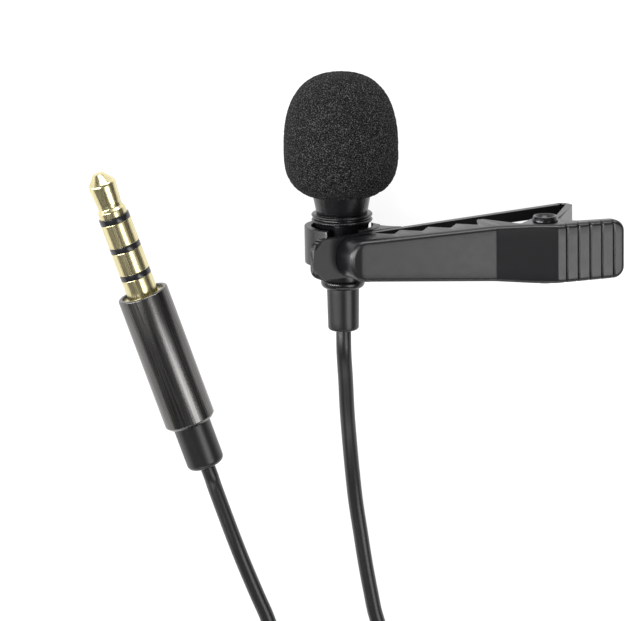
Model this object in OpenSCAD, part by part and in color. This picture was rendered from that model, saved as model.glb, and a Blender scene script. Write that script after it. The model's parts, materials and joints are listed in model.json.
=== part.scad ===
// Lavalier microphone with a spring clip, a foam windscreen, a cord and a 3.5 mm jack plug.
// Millimetres. Z is up from the table. The microphone lies along Y, its foam end at +Y,
// and the clip reaches out along +X until its folded end rests on the table.

/* [Foam windscreen] */
// Largest diameter of the foam
foam_d = 12.7; // [10.5:0.1:15]
// Length of the foam along the microphone
foam_length = 14.1; // [12:0.1:18]
// Height of the widest place above the pole of the open side's curve
foam_widest = 5.5; // [4.5:0.1:7]
// Outline exponent on the rounded side, 2 for an ellipse
foam_round_power = 2.5; // [2:0.05:3.5]
// Outline exponent on the open side
foam_open_power = 2.8; // [2:0.05:3.5]
// Width of the flat rim round the foam's mouth
foam_rim = 0.35; // [0.2:0.05:1]

/* [Microphone housing] */
// Wall of the housing round the capsule's boot
housing_wall = 0.55; // [0.4:0.05:0.75]
// Wall of the housing at the foot of the tapered collar
collar_wall = 0.39; // [0.3:0.01:0.5]
// Place of the collar's foot, measured from the clip's middle plane
housing_foot = 3.9; // [3.6:0.05:4.2]
// Place where the taper meets the full diameter
collar_top = 6.3; // [5.8:0.05:6.8]
// Place of the housing's open front
housing_front = 15; // [14.6:0.05:15.4]
// Step from the capsule's bore in to the spigot that joins the body's two halves
spigot_step = 0.3; // [0.2:0.05:0.4]
// Height of the spigot above the housing's foot
spigot_length = 3.1; // [2:0.1:3.6]

/* [Capsule] */
// Outer diameter of the electret capsule
capsule_d = 4.5; // [4.2:0.02:4.7]
// Depth of the capsule
capsule_depth = 2.2; // [2:0.05:2.6]
// Sheet thickness of the capsule's can
can_wall = 0.15; // [0.1:0.01:0.2]
// Thickness of the front grille
grille_t = 0.4; // [0.3:0.05:0.5]
// Diameter of a hole in the grille
grille_hole_d = 0.55; // [0.4:0.05:0.6]
// Thickness of the felt behind the grille
felt_t = 0.4; // [0.3:0.05:0.5]
// Wall of the rubber boot round the capsule
boot_wall = 0.5; // [0.4:0.05:0.6]
// Depth of the rubber boot behind the capsule
boot_lip = 0.6; // [0.4:0.05:0.8]

/* [Lower body] */
// How far the two lips of the grooved ring stand out past the housing
ring_lip = 0.1; // [0.05:0.05:0.25]
// Height of the grooved ring
ring_h = 0.95; // [0.8:0.05:1.3]
// Clearance between the shoulder under the ring and the holder's hoop
shoulder_gap = 0.35; // [0.25:0.05:0.5]
// Step from the neck out to the foot of the shoulder
shoulder_step = 0.25; // [0.15:0.05:0.4]
// Diameter of the neck that turns in the clip
neck_d = 3.8; // [3.6:0.02:4]
// Bore for the cord's end and the wires
wire_bore_d = 2.4; // [2.2:0.05:2.6]

/* [Rear cap] */
// Wall of the rear cap round the neck
cap_wall = 0.4; // [0.3:0.05:0.6]
// How far the cap's rounded rim stands out
rim_step = 0.14; // [0.1:0.02:0.24]
// Height of the rim
rim_h = 1; // [0.8:0.05:1.2]
// Length of the cap, with its rim
cap_length = 2.95; // [2.8:0.05:4]
// Step from the neck in to the rubber strain relief
relief_step = 0.1; // [0.06:0.02:0.4]
// Length of the strain relief outside the cap
relief_length = 4.8; // [3.5:0.1:6]

/* [Microphone holder] */
// Outer diameter of the holder's hoop
hoop_d = 8.4; // [8.3:0.05:9]
// Wall of the hoop
hoop_wall = 0.75; // [0.6:0.05:0.9]
// Height of the hoop above the clip's middle plane
hoop_up = 2.5; // [2.2:0.05:2.7]
// Thickness of the floor that carries the neck
floor_t = 1; // [0.8:0.05:1.2]
// Place of the floor's lower face below the middle plane
floor_down = 1.6; // [1.4:0.05:2]
// Angle of the hoop's free end from the clip's direction
hoop_gap_angle = 54; // [40:1:70]
// Clearance of a turning or sliding fit, on the radius
running_gap = 0.05; // [0.02:0.01:0.08]

/* [Clip arm] */
// Width of the arm at the knuckles
arm_w = 4.9; // [4.5:0.1:5.5]
// How much narrower the arm is at its free end, and how much wider at its fold
arm_taper = 0.4; // [0:0.05:0.5]
// Sheet thickness of the arm
arm_t = 0.8; // [0.6:0.05:0.9]
// Length of the arm on the free side of the microphone
arm_tail = 6.6; // [6:0.1:8]
// Distance from the microphone's axis to the centre of the fold
arm_reach = 25.6; // [24:0.1:29]
// Outer radius of the fold
fold_r = 1.2; // [1:0.05:1.3]
// Distance from the pin's axis to the outer face of the wall that rises from the fold
wall_offset = 0.77; // [0.5:0.01:0.9]
// Start of the window in the arm
window_start = 12; // [11:0.5:14]
// Distance from the window's end to the fold
window_end = 3; // [2.5:0.1:6]
// Rim left on each side of the window
window_rim = 1.1; // [0.9:0.05:1.4]
// Radius of the arm's outer corners
arm_corner_r = 1.3; // [0.6:0.05:1.6]

/* [Clip pin and spring] */
// Distance of the pin from the microphone's axis, along the arm
pin_along = 17.5; // [16:0.1:19]
// Distance of the pin from the arm's face
pin_up = 9.3; // [8.5:0.1:10.5]
// Diameter of the tubular pin
pin_d = 2; // [1.8:0.02:2.1]
// Wall of the tubular pin
pin_wall = 0.25; // [0.2:0.05:0.35]
// How far the pin's flared heads stand out past the pin
head_step = 0.45; // [0.3:0.05:0.55]
// Height of the flared head on the side of the foam
head_h = 0.55; // [0.4:0.05:0.6]
// Outer diameter of the arm's knuckles
knuckle_d = 3.2; // [3:0.05:3.3]
// Clearance between the spring's coil and each knuckle
spring_gap = 0.18; // [0.1:0.02:0.3]
// Diameter of the spring's wire
spring_wire_d = 0.4; // [0.3:0.02:0.44]
// Number of turns of the spring
spring_turns = 4; // [3:1:5]

/* [Clip lever] */
// Sheet thickness of the lever
lever_t = 0.6; // [0.5:0.05:0.65]
// Width of the lever at its nose
nose_w = 4.7; // [4.2:0.1:5.2]
// Clearance between the arm and each ear of the lever
ear_gap = 0.25; // [0.15:0.05:0.4]
// How much narrower the lever is at its bend than along the grip
lever_waist = 0.4; // [0.2:0.1:0.6]
// Height of the lever's face above the arm at the nose
nose_height = 2.9; // [2.6:0.1:3.2]
// Length of the grip past the crest over the pin
grip_length = 7.9; // [7.2:0.1:9]
// Radius of the nose, seen from above
nose_r = 2.2; // [1.6:0.1:2.2]
// Radius of the corners of the grip
grip_corner_r = 1.3; // [0.8:0.1:1.6]
// Depth of the flange at the valleys between the teeth
valley_depth = 2.1; // [1.8:0.1:2.4]
// Clearance of the first tooth above the arm
tooth_gap = 0.38; // [0.2:0.02:1]
// Number of small teeth in the jaw
tooth_count = 4; // [3:1:5]
// Depth of the last, largest tooth
last_tooth_depth = 4.7; // [4:0.1:5.6]
// Depth of the flange along the grip
grip_flange = 1.1; // [1:0.05:1.3]
// Radius of the ears round the pin
ear_r = 2; // [1.8:0.05:2.1]
// Distance between the grooves of the grip
groove_pitch = 1.4; // [1.2:0.05:1.5]
// Depth of a groove
groove_depth = 0.2; // [0.15:0.05:0.35]

/* [Jack plug] */
// Diameter of the jack
jack_d = 3.5; // [3.4:0.02:3.6]
// Length of the jack in front of the shell
jack_length = 14.5; // [13.5:0.1:15.5]
// Outer diameter of the shell
shell_d = 5.75; // [5.4:0.05:7]
// Length of the shell
shell_length = 16; // [14:0.1:20]
// Wall of the shell
shell_wall = 0.47; // [0.35:0.01:0.6]
// Step from the shell in to the plug's rubber sleeve
sleeve_step = 0.75; // [0.6:0.05:1]
// Length of the rubber sleeve behind the shell
sleeve_length = 5.3; // [4:0.1:7]

/* [Cord] */
// Diameter of the cord
cord_d = 1.7; // [1.5:0.05:1.9]
// Turns of the coil side by side
coil_rows = 6; // [4:1:7]
// Layers of the coil
coil_layers = 4; // [2:2:6]
// Thickness of the tie
tie_t = 0.4; // [0.3:0.05:0.6]
// Width of the tie
tie_w = 4; // [3:0.5:6]

/* [Hidden] */
$fn = 96;
eps = 0.01;
round_steps = 16;

// Diameters of the microphone, each from the piece inside it.
housing_bore_d = capsule_d + 2 * boot_wall;
housing_d = housing_bore_d + 2 * housing_wall;
spigot_d = housing_bore_d - 2 * spigot_step;
collar_foot_d = spigot_d + 2 * collar_wall;
ring_d = housing_d + 2 * ring_lip;
shoulder_d = hoop_d - 2 * hoop_wall - 2 * shoulder_gap;
shoulder_foot_d = neck_d + 2 * shoulder_step;
cap_d = neck_d + 2 * cap_wall;
rim_d = cap_d + 2 * rim_step;
relief_d = neck_d - 2 * relief_step;

// Foam, measured along the microphone from the clip's middle plane.
foam_pole = housing_foot + 1.6;
foam_tip = foam_pole + foam_length;
foam_wide = foam_pole + foam_widest;
foam_bore_front = housing_front + 0.2;
foam_bore_r = housing_d / 2 + running_gap;
foam_mouth_r = foam_bore_r + foam_rim;
foam_foot = foam_wide - foam_widest
    * pow(1 - pow(2 * foam_mouth_r / foam_d, foam_open_power), 1 / foam_open_power);

// Places along the arm and square to it, from the microphone's axis.
arm_back = hoop_d / 2;
arm_front = arm_back + arm_t;
fold = [arm_reach, arm_back + fold_r];
pin = [pin_along, arm_front + pin_up];
tab_place = 2.8;
tab = [1.6, 1.8];

// The clip's fold touches the table, which sets how far the arm leans down.
mic_z = foam_d / 2;
arm_lean = asin((mic_z - fold_r) / norm(fold)) + atan2(fold[1], fold[0]);
// The wall rises from the fold to pass beside the pin.
fold_to_pin = pin - fold;
wall_slope = 90 + acos((fold_r - wall_offset) / norm(fold_to_pin))
    - atan2(fold_to_pin[1], fold_to_pin[0]);

// Outer face of the lever, as places along and square to the arm.
nose_foot = [-3.85, arm_front + 0.03];
face_nose = [-3.3, arm_front + nose_height];
face_bend = pin + [-5.6, -1.1];
face_crest = pin + [-0.1, 2.8];
face_end = face_crest + grip_length * [1, 0.19];
grip_w = arm_w + 2 * (ear_gap + lever_t);

// The object is centred on the box of the microphone and its clip.
strain_foot = -floor_down - running_gap - cap_length - relief_length;
mic_y = -(foam_tip + strain_foot) / 2;
clip_right = face_end[0] * cos(arm_lean) + face_end[1] * sin(arm_lean);
mic_x = -(clip_right - foam_d / 2) / 2;

// Places along the microphone.
neck_top = -floor_down + floor_t + running_gap;
ring_foot = housing_foot - ring_h;
cap_front = -floor_down - running_gap;
cap_rear = cap_front - cap_length;
relief_flange_top = cap_front - 1.35;
relief_flange_foot = relief_flange_top - 1.2;
spigot_top = housing_foot + spigot_length;
capsule_front = housing_front - grille_t - felt_t;
capsule_rear = capsule_front - capsule_depth;
boot_rear = capsule_rear - boot_lip;
board_t = 0.3;
can_bore_r = capsule_d / 2 - can_wall;
board_front = capsule_rear + board_t;
ring_t = 0.2;
film_t = 0.05;
spacer_t = 0.1;
film_back = capsule_front - can_wall - ring_t - film_t;
plate_front = film_back - spacer_t;
plate_t = 0.4;
cup_wall = 0.2;
crimp_top = -1.2;
crimp_length = 1.4;
jacket_top = -1;

// Clip pin, spring and knuckles.
pin_hole_r = pin_d / 2 + 0.03;
spring_r = pin_d / 2 + 0.1 + spring_wire_d / 2;
spring_width = spring_turns * (spring_wire_d + 0.06);
spring_room = spring_width + spring_wire_d + 2 * spring_gap;
knuckle_w = (arm_w - spring_room) / 2;
spring_leg_start = 4.9;

// Jack plug, measured from the shell's mouth towards the tip.
plug_angle = 18.6;
plug_rear = [-15.3, -25.2];
plug_length = shell_length + sleeve_length;
plug_mouth = plug_rear + plug_length * [-sin(plug_angle), cos(plug_angle)];
shell_bore_r = shell_d / 2 - shell_wall;
sleeve_d = shell_d - 2 * sleeve_step;
band_t = 0.66;
band_1 = 0.647 * jack_length;
band_2 = 0.4125 * jack_length;
band_3 = 0.184 * jack_length;
rod_r = jack_d / 7;
liner_1_r = 1.5 * rod_r;
liner_2_r = 2 * rod_r;
liner_3_r = 2.5 * rod_r;
liner_4_r = 2.9 * rod_r;
liner_t = 0.1;
collar_front = -0.3;
collar_rear = -1.2;
core_rear = -5.5;
jacket_front = core_rear - 5.5;
shell_rear_t = 1;

// Cord. Points are chosen by hand, from the microphone's axis and the table, to the cord's
// underside; both ends of a run take their places from the pieces that they join.
cord_r = cord_d / 2;
coil_centre = [0, -68];
coil_outer_r = 13.5;
coil_in_r = coil_outer_r - (coil_rows - 1) * cord_d - cord_r;
coil_out_r = coil_outer_r + cord_r;
coil_h = coil_layers * cord_d;
mic_points = [[0.3, -15.5, 4.3], [0.6, -19.5, 3], [1, -23.3, 1.6], [1.4, -27.1, 0.6],
    [1.8, -30.8, 0.1], [2.3, -34.4, 0], [2.8, -38, 0], [3.4, -41.6, 0], [4.1, -45, 0],
    [6, -50.5, 0], [9.4, -56, 0.1], [12.5, -62, 0.2]];
plug_points = [[-14.4, -28, 1.6], [-13.2, -31.6, 0.8], [-11.9, -35.4, 0.1], [-10.8, -38.4, 0],
    [-9.6, -41.5, 0], [-8.5, -44.3, 0], [-7.5, -48, 0], [-7.5, -51.5, 0.3], [-9.8, -54.9, 1.2],
    [-12.9, -58.4, 2.7], [-14.3, -63, 4.4]];
mic_start = [0, strain_foot, mic_z];
mic_route = concat([mic_start - [0, 0.5, 0], mic_start - [0, 2.6, 0]],
    [for (p = mic_points) p + [0, 0, cord_r]],
    [[coil_outer_r, coil_centre[1], tie_t + cord_r]]);
plug_start = [plug_rear[0], plug_rear[1], shell_d / 2];
plug_back = [sin(plug_angle), -cos(plug_angle), 0];
plug_route = concat([plug_start + 0.5 * plug_back, plug_start + 1.5 * plug_back],
    [for (p = plug_points) p + [0, 0, cord_r]],
    [[-coil_outer_r, coil_centre[1], tie_t + coil_h - cord_r]]);

// ---------- shared helpers ----------

// Carries a shape drawn along Z onto the microphone's axis.
module along_mic() {
    translate([mic_x, mic_y, mic_z]) rotate([-90, 0, 0]) children();
}

// Carries a shape drawn along Z onto the plug's axis.
module along_plug() {
    translate([mic_x + plug_mouth[0], mic_y + plug_mouth[1], shell_d / 2])
        rotate([-90, 0, plug_angle]) children();
}

// Carries a shape drawn in clip directions, X along the arm and Z square to it.
module on_clip() {
    translate([mic_x, mic_y, mic_z]) rotate([0, arm_lean, 0]) children();
}

// A turned ring or tube between two places along the axis.
module turned(from, to, outer_r, inner_r = 0) {
    translate([0, 0, from]) difference() {
        cylinder(h = to - from, r = outer_r);
        if (inner_r > 0) translate([0, 0, -1]) cylinder(h = to - from + 2, r = inner_r);
    }
}

// A side outline of the clip, drawn as places along and square to the arm, with a width.
module side_slab(outline, width) {
    rotate([90, 0, 0]) linear_extrude(width, center = true) polygon(outline);
}

// A hole or barrel on the clip's pin.
module on_pin(r, width) {
    translate([pin[0], 0, pin[1]]) rotate([90, 0, 0]) cylinder(h = width, r = r, center = true);
}

// Points of a circle's arc, in the plane.
function arc(centre, r, from, to, steps = round_steps) =
    [for (i = [0:steps]) let (a = from + (to - from) * i / steps)
        [centre[0] + r * cos(a), centre[1] + r * sin(a)]];

// One quarter of a superellipse, from its equator to its pole.
function foam_curve(height, power, steps) =
    [for (i = [0:steps]) let (a = 90 * i / steps)
        [foam_d / 2 * pow(cos(a), 2 / power), height * pow(sin(a), 2 / power)]];

// ---------- microphone ----------

module foam_windscreen() {
    open_side = [for (p = foam_curve(foam_widest, foam_open_power, 24))
        if (p[0] > foam_mouth_r) [p[0], foam_wide - p[1]]];
    round_side = [for (p = foam_curve(foam_length - foam_widest, foam_round_power, 28))
        if (p[0] > 0.05) [p[0], foam_wide + p[1]]];
    color("#3b3c3f") along_mic() difference() {
        rotate_extrude() polygon(concat([[0, foam_foot], [foam_mouth_r, foam_foot]],
            [for (i = [len(open_side) - 1:-1:1]) open_side[i]], round_side, [[0, foam_tip]]));
        turned(foam_foot - 1, foam_bore_front, foam_bore_r);
    }
}

module front_grille() {
    ring_place = 1.35;
    color("#4a4c50") along_mic() difference() {
        turned(housing_front - grille_t, housing_front, housing_bore_d / 2);
        translate([0, 0, housing_front - 1]) {
            cylinder(h = 2, d = grille_hole_d, $fn = 24);
            for (i = [0:5]) rotate(60 * i) translate([ring_place, 0, 0])
                cylinder(h = 2, d = grille_hole_d, $fn = 24);
        }
    }
}

module dust_felt() {
    color("#222222") along_mic() turned(capsule_front, capsule_front + felt_t, housing_bore_d / 2);
}

module capsule_housing() {
    color("#1f2022") along_mic() difference() {
        rotate_extrude() polygon([[0, housing_foot], [collar_foot_d / 2, housing_foot],
            [housing_d / 2 - 0.1, collar_top - 0.5], [housing_d / 2, collar_top],
            [housing_d / 2, housing_front - 0.2], [housing_d / 2 - 0.2, housing_front],
            [0, housing_front]]);
        turned(boot_rear, housing_front + 1, housing_bore_d / 2);
        turned(housing_foot - 1, boot_rear + eps, spigot_d / 2);
    }
}

module lower_body() {
    lip_r = ring_h * 0.19;
    lip_place = ring_d / 2 - lip_r;
    color("#232427") along_mic() difference() {
        rotate_extrude() polygon(concat([[0, relief_flange_top], [neck_d / 2, relief_flange_top],
            [neck_d / 2, neck_top], [shoulder_foot_d / 2, neck_top],
            [shoulder_d / 2 - 0.15, ring_foot - 0.5], [shoulder_d / 2, ring_foot],
            [lip_place, ring_foot]],
            arc([lip_place, ring_foot + lip_r], lip_r, -80, 90, 6),
            [[lip_place - lip_r, ring_foot + 2 * lip_r],
            [lip_place - lip_r, housing_foot - 2 * lip_r]],
            arc([lip_place, housing_foot - lip_r], lip_r, -90, 90, 6),
            [[spigot_d / 2, housing_foot], [spigot_d / 2, spigot_top], [0, spigot_top]]));
        turned(relief_flange_top - 1, spigot_top + 1, wire_bore_d / 2);
    }
}

module rear_cap() {
    edge = 0.3;
    foot_edge = 0.6;
    color("#2a2b2e") along_mic() difference() {
        rotate_extrude() polygon(concat([[0, cap_rear]],
            arc([rim_d / 2 - foot_edge, cap_rear + foot_edge], foot_edge, -90, 0, 8),
            arc([rim_d / 2 - edge, cap_rear + rim_h - edge], edge, 0, 90, 6),
            [[cap_d / 2, cap_rear + rim_h], [cap_d / 2, cap_front - 0.15],
            [cap_d / 2 - 0.15, cap_front], [0, cap_front]]));
        turned(relief_flange_foot, cap_front + 1, neck_d / 2);
        turned(cap_rear - 1, relief_flange_foot + eps, relief_d / 2);
    }
}

module strain_relief() {
    tip_round = 0.35;
    color("#1a1a1b") along_mic() difference() {
        rotate_extrude() polygon(concat([[0, strain_foot]],
            arc([relief_d / 2 - 0.08 - tip_round, strain_foot + tip_round], tip_round, -90, 0, 6),
            [[relief_d / 2, cap_rear], [relief_d / 2, relief_flange_foot],
            [neck_d / 2, relief_flange_foot], [neck_d / 2, relief_flange_top],
            [0, relief_flange_top]]));
        turned(strain_foot - 1, relief_flange_top + 1, cord_r);
    }
}

module capsule_boot() {
    color("#303030") along_mic() difference() {
        turned(boot_rear, capsule_front, housing_bore_d / 2);
        turned(capsule_rear, capsule_front + 1, capsule_d / 2);
        turned(boot_rear - 1, capsule_rear + eps, capsule_d / 2 - 0.6);
    }
}

module capsule_can() {
    port_r = 0.5;
    color("silver") along_mic() difference() {
        turned(capsule_rear, capsule_front, capsule_d / 2);
        turned(capsule_rear - 1, capsule_front - can_wall, can_bore_r);
        turned(capsule_rear, capsule_front + 1, port_r);
    }
}

module diaphragm_ring() {
    color("goldenrod") along_mic()
        turned(film_back + film_t, film_back + film_t + ring_t, can_bore_r, can_bore_r - 0.4);
}

module diaphragm() {
    color("gold") along_mic() turned(film_back, film_back + film_t, can_bore_r);
}

module spacer_ring() {
    color("ivory") along_mic() turned(plate_front, film_back, can_bore_r, can_bore_r - 0.4);
}

module backplate() {
    hole_place = 1;
    color("#b8935a") along_mic() difference() {
        turned(plate_front - plate_t, plate_front, can_bore_r - cup_wall);
        for (i = [0:3]) rotate(90 * i) translate([hole_place, 0, plate_front - 1])
            cylinder(h = 2, d = 0.4, $fn = 24);
    }
}

module insulator_cup() {
    color("whitesmoke") along_mic() difference() {
        turned(board_front, plate_front, can_bore_r);
        turned(plate_front - plate_t, plate_front + 1, can_bore_r - cup_wall);
        turned(board_front - 1, plate_front - plate_t + eps, can_bore_r - 2 * cup_wall);
    }
}

module capsule_board() {
    color("#1f5c35") along_mic() turned(capsule_rear, board_front, can_bore_r);
}

module amplifier_chip() {
    color("#151515") along_mic() translate([-0.6, -0.5, board_front]) cube([1.2, 1, 0.5]);
}

module signal_wires() {
    wire_r = 0.2;
    wire_place = 0.45;
    color("firebrick") along_mic() for (side = [-1, 1]) translate([side * wire_place, 0, 0])
        turned(jacket_top, capsule_rear, wire_r);
}

module cord_crimp() {
    color("silver") along_mic()
        turned(crimp_top - crimp_length, crimp_top, wire_bore_d / 2, cord_r);
}

module cord_end_mic() {
    color("#101011") along_mic() turned(strain_foot, jacket_top, cord_r);
}

// ---------- clip ----------

module mic_holder() {
    hoop_r = hoop_d / 2;
    foot = [tab_place + 0.2, hoop_r + 1];
    flare_r = 4;
    wedge = 12;
    color("#1b1c1e") on_clip() {
        difference() {
            union() {
                rotate([-90, 0, 0]) translate([0, 0, -floor_down])
                    cylinder(h = floor_down + hoop_up, r = hoop_r - eps);
                translate([foot[0] / 2, -floor_down, 0])
                    cube([foot[1] - foot[0] / 2, floor_down + hoop_up - 0.1, arm_back]);
            }
            rotate([-90, 0, 0]) {
                turned(floor_t - floor_down, hoop_up + 1, hoop_r - hoop_wall);
                turned(-floor_down - 1, hoop_up, neck_d / 2 + running_gap);
            }
            // the mouth of the hoop, between its free end and the arm
            translate([0, floor_t - floor_down, 0]) rotate([90, 0, 180])
                linear_extrude(hoop_d) polygon([[0, 0], [wedge * tan(hoop_gap_angle), wedge],
                    [0, wedge]]);
            // hollow under the foot's flare
            translate([foot[1] + flare_r - 1.8, 0, arm_back - 3.6]) rotate([90, 0, 0])
                cylinder(h = 2 * hoop_d, r = flare_r, center = true);
        }
        translate([tab_place, -tab[1] / 2, arm_back - eps]) cube([tab[0], tab[1], arm_t + eps]);
    }
}

module clip_arm() {
    u = [-cos(wall_slope), sin(wall_slope)];
    n = [sin(wall_slope), cos(wall_slope)];
    wall_end = norm(fold_to_pin);
    inner_r = fold_r - arm_t;
    knuckle_place = (arm_w - knuckle_w) / 2;
    room_r = max(knuckle_d / 2, spring_r + spring_wire_d / 2) + 0.15;
    tail_w = (arm_w - arm_taper) / 2;
    fold_w = (arm_w + arm_taper) / 2;
    far_end = arm_reach + fold_r;
    window_w = arm_w - 2 * window_rim;
    plan = concat(arc([arm_corner_r - arm_tail, tail_w - arm_corner_r], arm_corner_r, 90, 180, 8),
        arc([arm_corner_r - arm_tail, arm_corner_r - tail_w], arm_corner_r, 180, 270, 8),
        [[far_end + eps, -fold_w], [far_end + eps, fold_w]]);
    color("#17181a") on_clip() difference() {
        union() {
            intersection() {
                side_slab(concat([[-arm_tail, arm_front], [-arm_tail, arm_back]],
                    arc(fold, fold_r, -90, 90 - wall_slope),
                    [fold + fold_r * n + wall_end * u, fold + inner_r * n + wall_end * u],
                    arc(fold, inner_r, 90 - wall_slope, -90)), 2 * arm_w);
                linear_extrude(pin[1] + knuckle_d) polygon(plan);
            }
            for (side = [-1, 1]) translate([0, side * knuckle_place, 0])
                on_pin(knuckle_d / 2, knuckle_w);
        }
        // window in the arm
        translate([window_start, -window_w / 2, arm_back - 1])
            cube([arm_reach - window_end - window_start, window_w, arm_t + 2]);
        // slot for the holder's tab
        translate([tab_place, -tab[1] / 2, arm_back - 1]) cube([tab[0], tab[1], arm_t + 2]);
        on_pin(pin_hole_r, 2 * arm_w);
        // room for the spring between the knuckles, and for the leg that passes the wall
        on_pin(room_r, spring_room - eps);
        translate([pin[0], -spring_room / 2, pin[1]]) rotate([0, wall_slope, 0])
            translate([0, 0, -2]) cube([spring_leg_start + 0.1, spring_room, 4]);
    }
}

module clip_pin() {
    head_seat = grip_w / 2 + running_gap;
    bore_r = pin_d / 2 - pin_wall;
    head_r = pin_d / 2 + head_step;
    head_chamfer = 0.15;
    far_head_h = 0.15;
    mouth_depth = 0.4;
    color("#8c8f94") on_clip() translate([pin[0], 0, pin[1]]) rotate([90, 0, 0]) difference() {
        union() {
            cylinder(h = 2 * head_seat, d = pin_d, center = true);
            turned(head_seat, head_seat + far_head_h, head_r - head_chamfer);
            mirror([0, 0, 1]) translate([0, 0, head_seat])
                cylinder(h = head_h, r1 = head_r, r2 = head_r - head_chamfer);
        }
        cylinder(h = 4 * head_seat, r = bore_r, center = true);
        mirror([0, 0, 1]) translate([0, 0, head_seat + head_h - mouth_depth])
            cylinder(h = mouth_depth + 0.001, r1 = bore_r, r2 = head_r - 2 * head_chamfer);
    }
}

// A round wire swept along a path that never runs along "up", as one closed surface.
module swept_tube(path, r, up = [0, 0, 1], sides = 8) {
    last = len(path) - 1;
    function heading(i) =
        let (d = path[min(i + 1, last)] - path[max(i - 1, 0)]) d / norm(d);
    function side_of(t) = let (s = cross(t, up)) s / norm(s);
    rings = [for (i = [0:last]) let (t = heading(i), s = side_of(t), w = cross(s, t))
        for (k = [0:sides - 1]) let (a = 360 * (k + 0.5) / sides)
            path[i] + r * cos(a) * s + r * sin(a) * w];
    walls = [for (i = [0:last - 1], k = [0:sides - 1]) let (m = (k + 1) % sides)
        [i * sides + k, i * sides + m, (i + 1) * sides + m, (i + 1) * sides + k]];
    polyhedron(rings, concat([[for (k = [sides - 1:-1:0]) k]], walls,
        [[for (k = [0:sides - 1]) last * sides + k]]), convexity = 8);
}

module clip_spring() {
    half = spring_width / 2;
    steps = 16;
    // The first leg bears on the arm's wall and the second on the lever's grip.
    leg_end = spring_leg_start + 3.1;
    leg_gap = wall_offset + spring_wire_d / 2 + 0.03;
    start_angle = -110;
    grip_angle = 15;
    grip_leg = 5;
    turn = 360 * (spring_turns + 1) + start_angle - 90 - grip_angle;
    count = round(turn / 360 * steps);
    down_wall = [cos(wall_slope), 0, -sin(wall_slope)];
    off_wall = [sin(wall_slope), 0, cos(wall_slope)];
    along_grip = [cos(grip_angle), 0, sin(grip_angle)];
    function wall_point(along) = [0, half, 0] + along * down_wall + leg_gap * off_wall;
    coil = [for (i = [0:count]) let (f = i / count, a = start_angle - turn * f)
        [spring_r * cos(a), half - 2 * half * f, spring_r * sin(a)]];
    color("#6d7075") on_clip() translate([pin[0], 0, pin[1]]) swept_tube(concat(
        [wall_point(leg_end), wall_point(spring_leg_start)], coil,
        [coil[count] + 0.4 * along_grip, coil[count] + grip_leg * along_grip]),
        spring_wire_d / 2, [0, 1, 0]);
}

module clip_lever() {
    u1 = (face_bend - face_nose) / norm(face_bend - face_nose);
    u2 = (face_crest - face_bend) / norm(face_crest - face_bend);
    u3 = (face_end - face_crest) / norm(face_end - face_crest);
    function square_to(u) = [-u[1], u[0]];
    // Depth is measured straight down towards the arm.
    function face_at(p) = face_nose[1] + (p - face_nose[0]) * u1[1] / u1[0];
    function below(p, depth) = [p, face_at(p) - depth];
    tooth_first = 0.5;
    tooth_depth = face_at(tooth_first) - arm_front - tooth_gap;
    last_tooth = face_bend[0] + 0.3;
    tooth_pitch = (last_tooth - tooth_first - 1.2) / (tooth_count - 0.5);
    teeth = [for (i = [0:tooth_count - 1]) let (peak = tooth_first + tooth_pitch * i)
        each [below(peak, tooth_depth), below(peak + tooth_pitch / 2, valley_depth)]];
    outline = concat([nose_foot, nose_foot + [1, 0], below(-0.4, nose_height)], teeth,
        [below(last_tooth, last_tooth_depth), below(last_tooth + 0.6, last_tooth_depth),
        pin + [-2.9, -0.6], pin + [-1.6, -1.2], pin, pin + [1.6, 0.6],
        [pin[0] + 3, face_crest[1] - grip_flange],
        face_end - grip_flange * square_to(u3), face_end, face_crest, face_bend, face_nose]);
    under_1 = -lever_t * square_to(u1);
    under_2 = -lever_t * square_to(u2);
    under_3 = -lever_t * square_to(u3);
    inner_nose = nose_foot[0] + 1.2 * lever_t;
    inside = [[inner_nose, 0], [inner_nose, arm_front],
        face_nose + [0.6 * lever_t, 0] + under_1, face_bend + under_1 + [0.1, 0.03],
        face_crest + (under_2 + under_3) / 2, face_end + under_3 - [lever_t, 0],
        [face_end[0] - lever_t, 0]];
    knee = face_crest[0] - 2;
    shoulder = face_nose[0] + 2;
    function plan(inset) = let (w0 = nose_w / 2 - inset, w2 = grip_w / 2 - inset,
        w1 = w2 - lever_waist / 2, r0 = min(nose_r, nose_w / 2) - inset,
        x0 = nose_foot[0] + inset, r1 = grip_corner_r - inset * 0.5, x1 = face_end[0] - inset)
        concat(arc([x0 + r0, w0 - r0], r0, 90, 180, 10), arc([x0 + r0, r0 - w0], r0, 180, 270, 10),
            [[shoulder, -w0], [face_bend[0], -w1], [knee, -w2]],
            arc([x1 - r1, r1 - w2], r1, -90, 0, 8), arc([x1 - r1, w2 - r1], r1, 0, 90, 8),
            [[knee, w2], [face_bend[0], w1], [shoulder, w0]]);
    groove_first = 1.05;
    groove_side = groove_depth * sqrt(2);
    color("#141517") on_clip() difference() {
        union() {
            difference() {
                intersection() {
                    side_slab(outline, 2 * grip_w);
                    linear_extrude(2 * face_end[1]) polygon(plan(0));
                }
                intersection() {
                    side_slab(inside, 2 * grip_w);
                    linear_extrude(2 * face_end[1]) polygon(plan(lever_t));
                }
            }
            for (side = [-1, 1]) translate([0, side * (grip_w - lever_t) / 2, 0])
                on_pin(ear_r, lever_t);
        }
        on_pin(pin_hole_r, 2 * grip_w);
        for (i = [0:4]) let (at = face_crest + (groove_first + groove_pitch * i) * u3)
            translate([at[0], 0, at[1]]) rotate([0, 45 - atan2(u3[1], u3[0]), 0])
                cube([groove_side, 2 * grip_w, groove_side], center = true);
    }
}

// ---------- plug ----------

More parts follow.
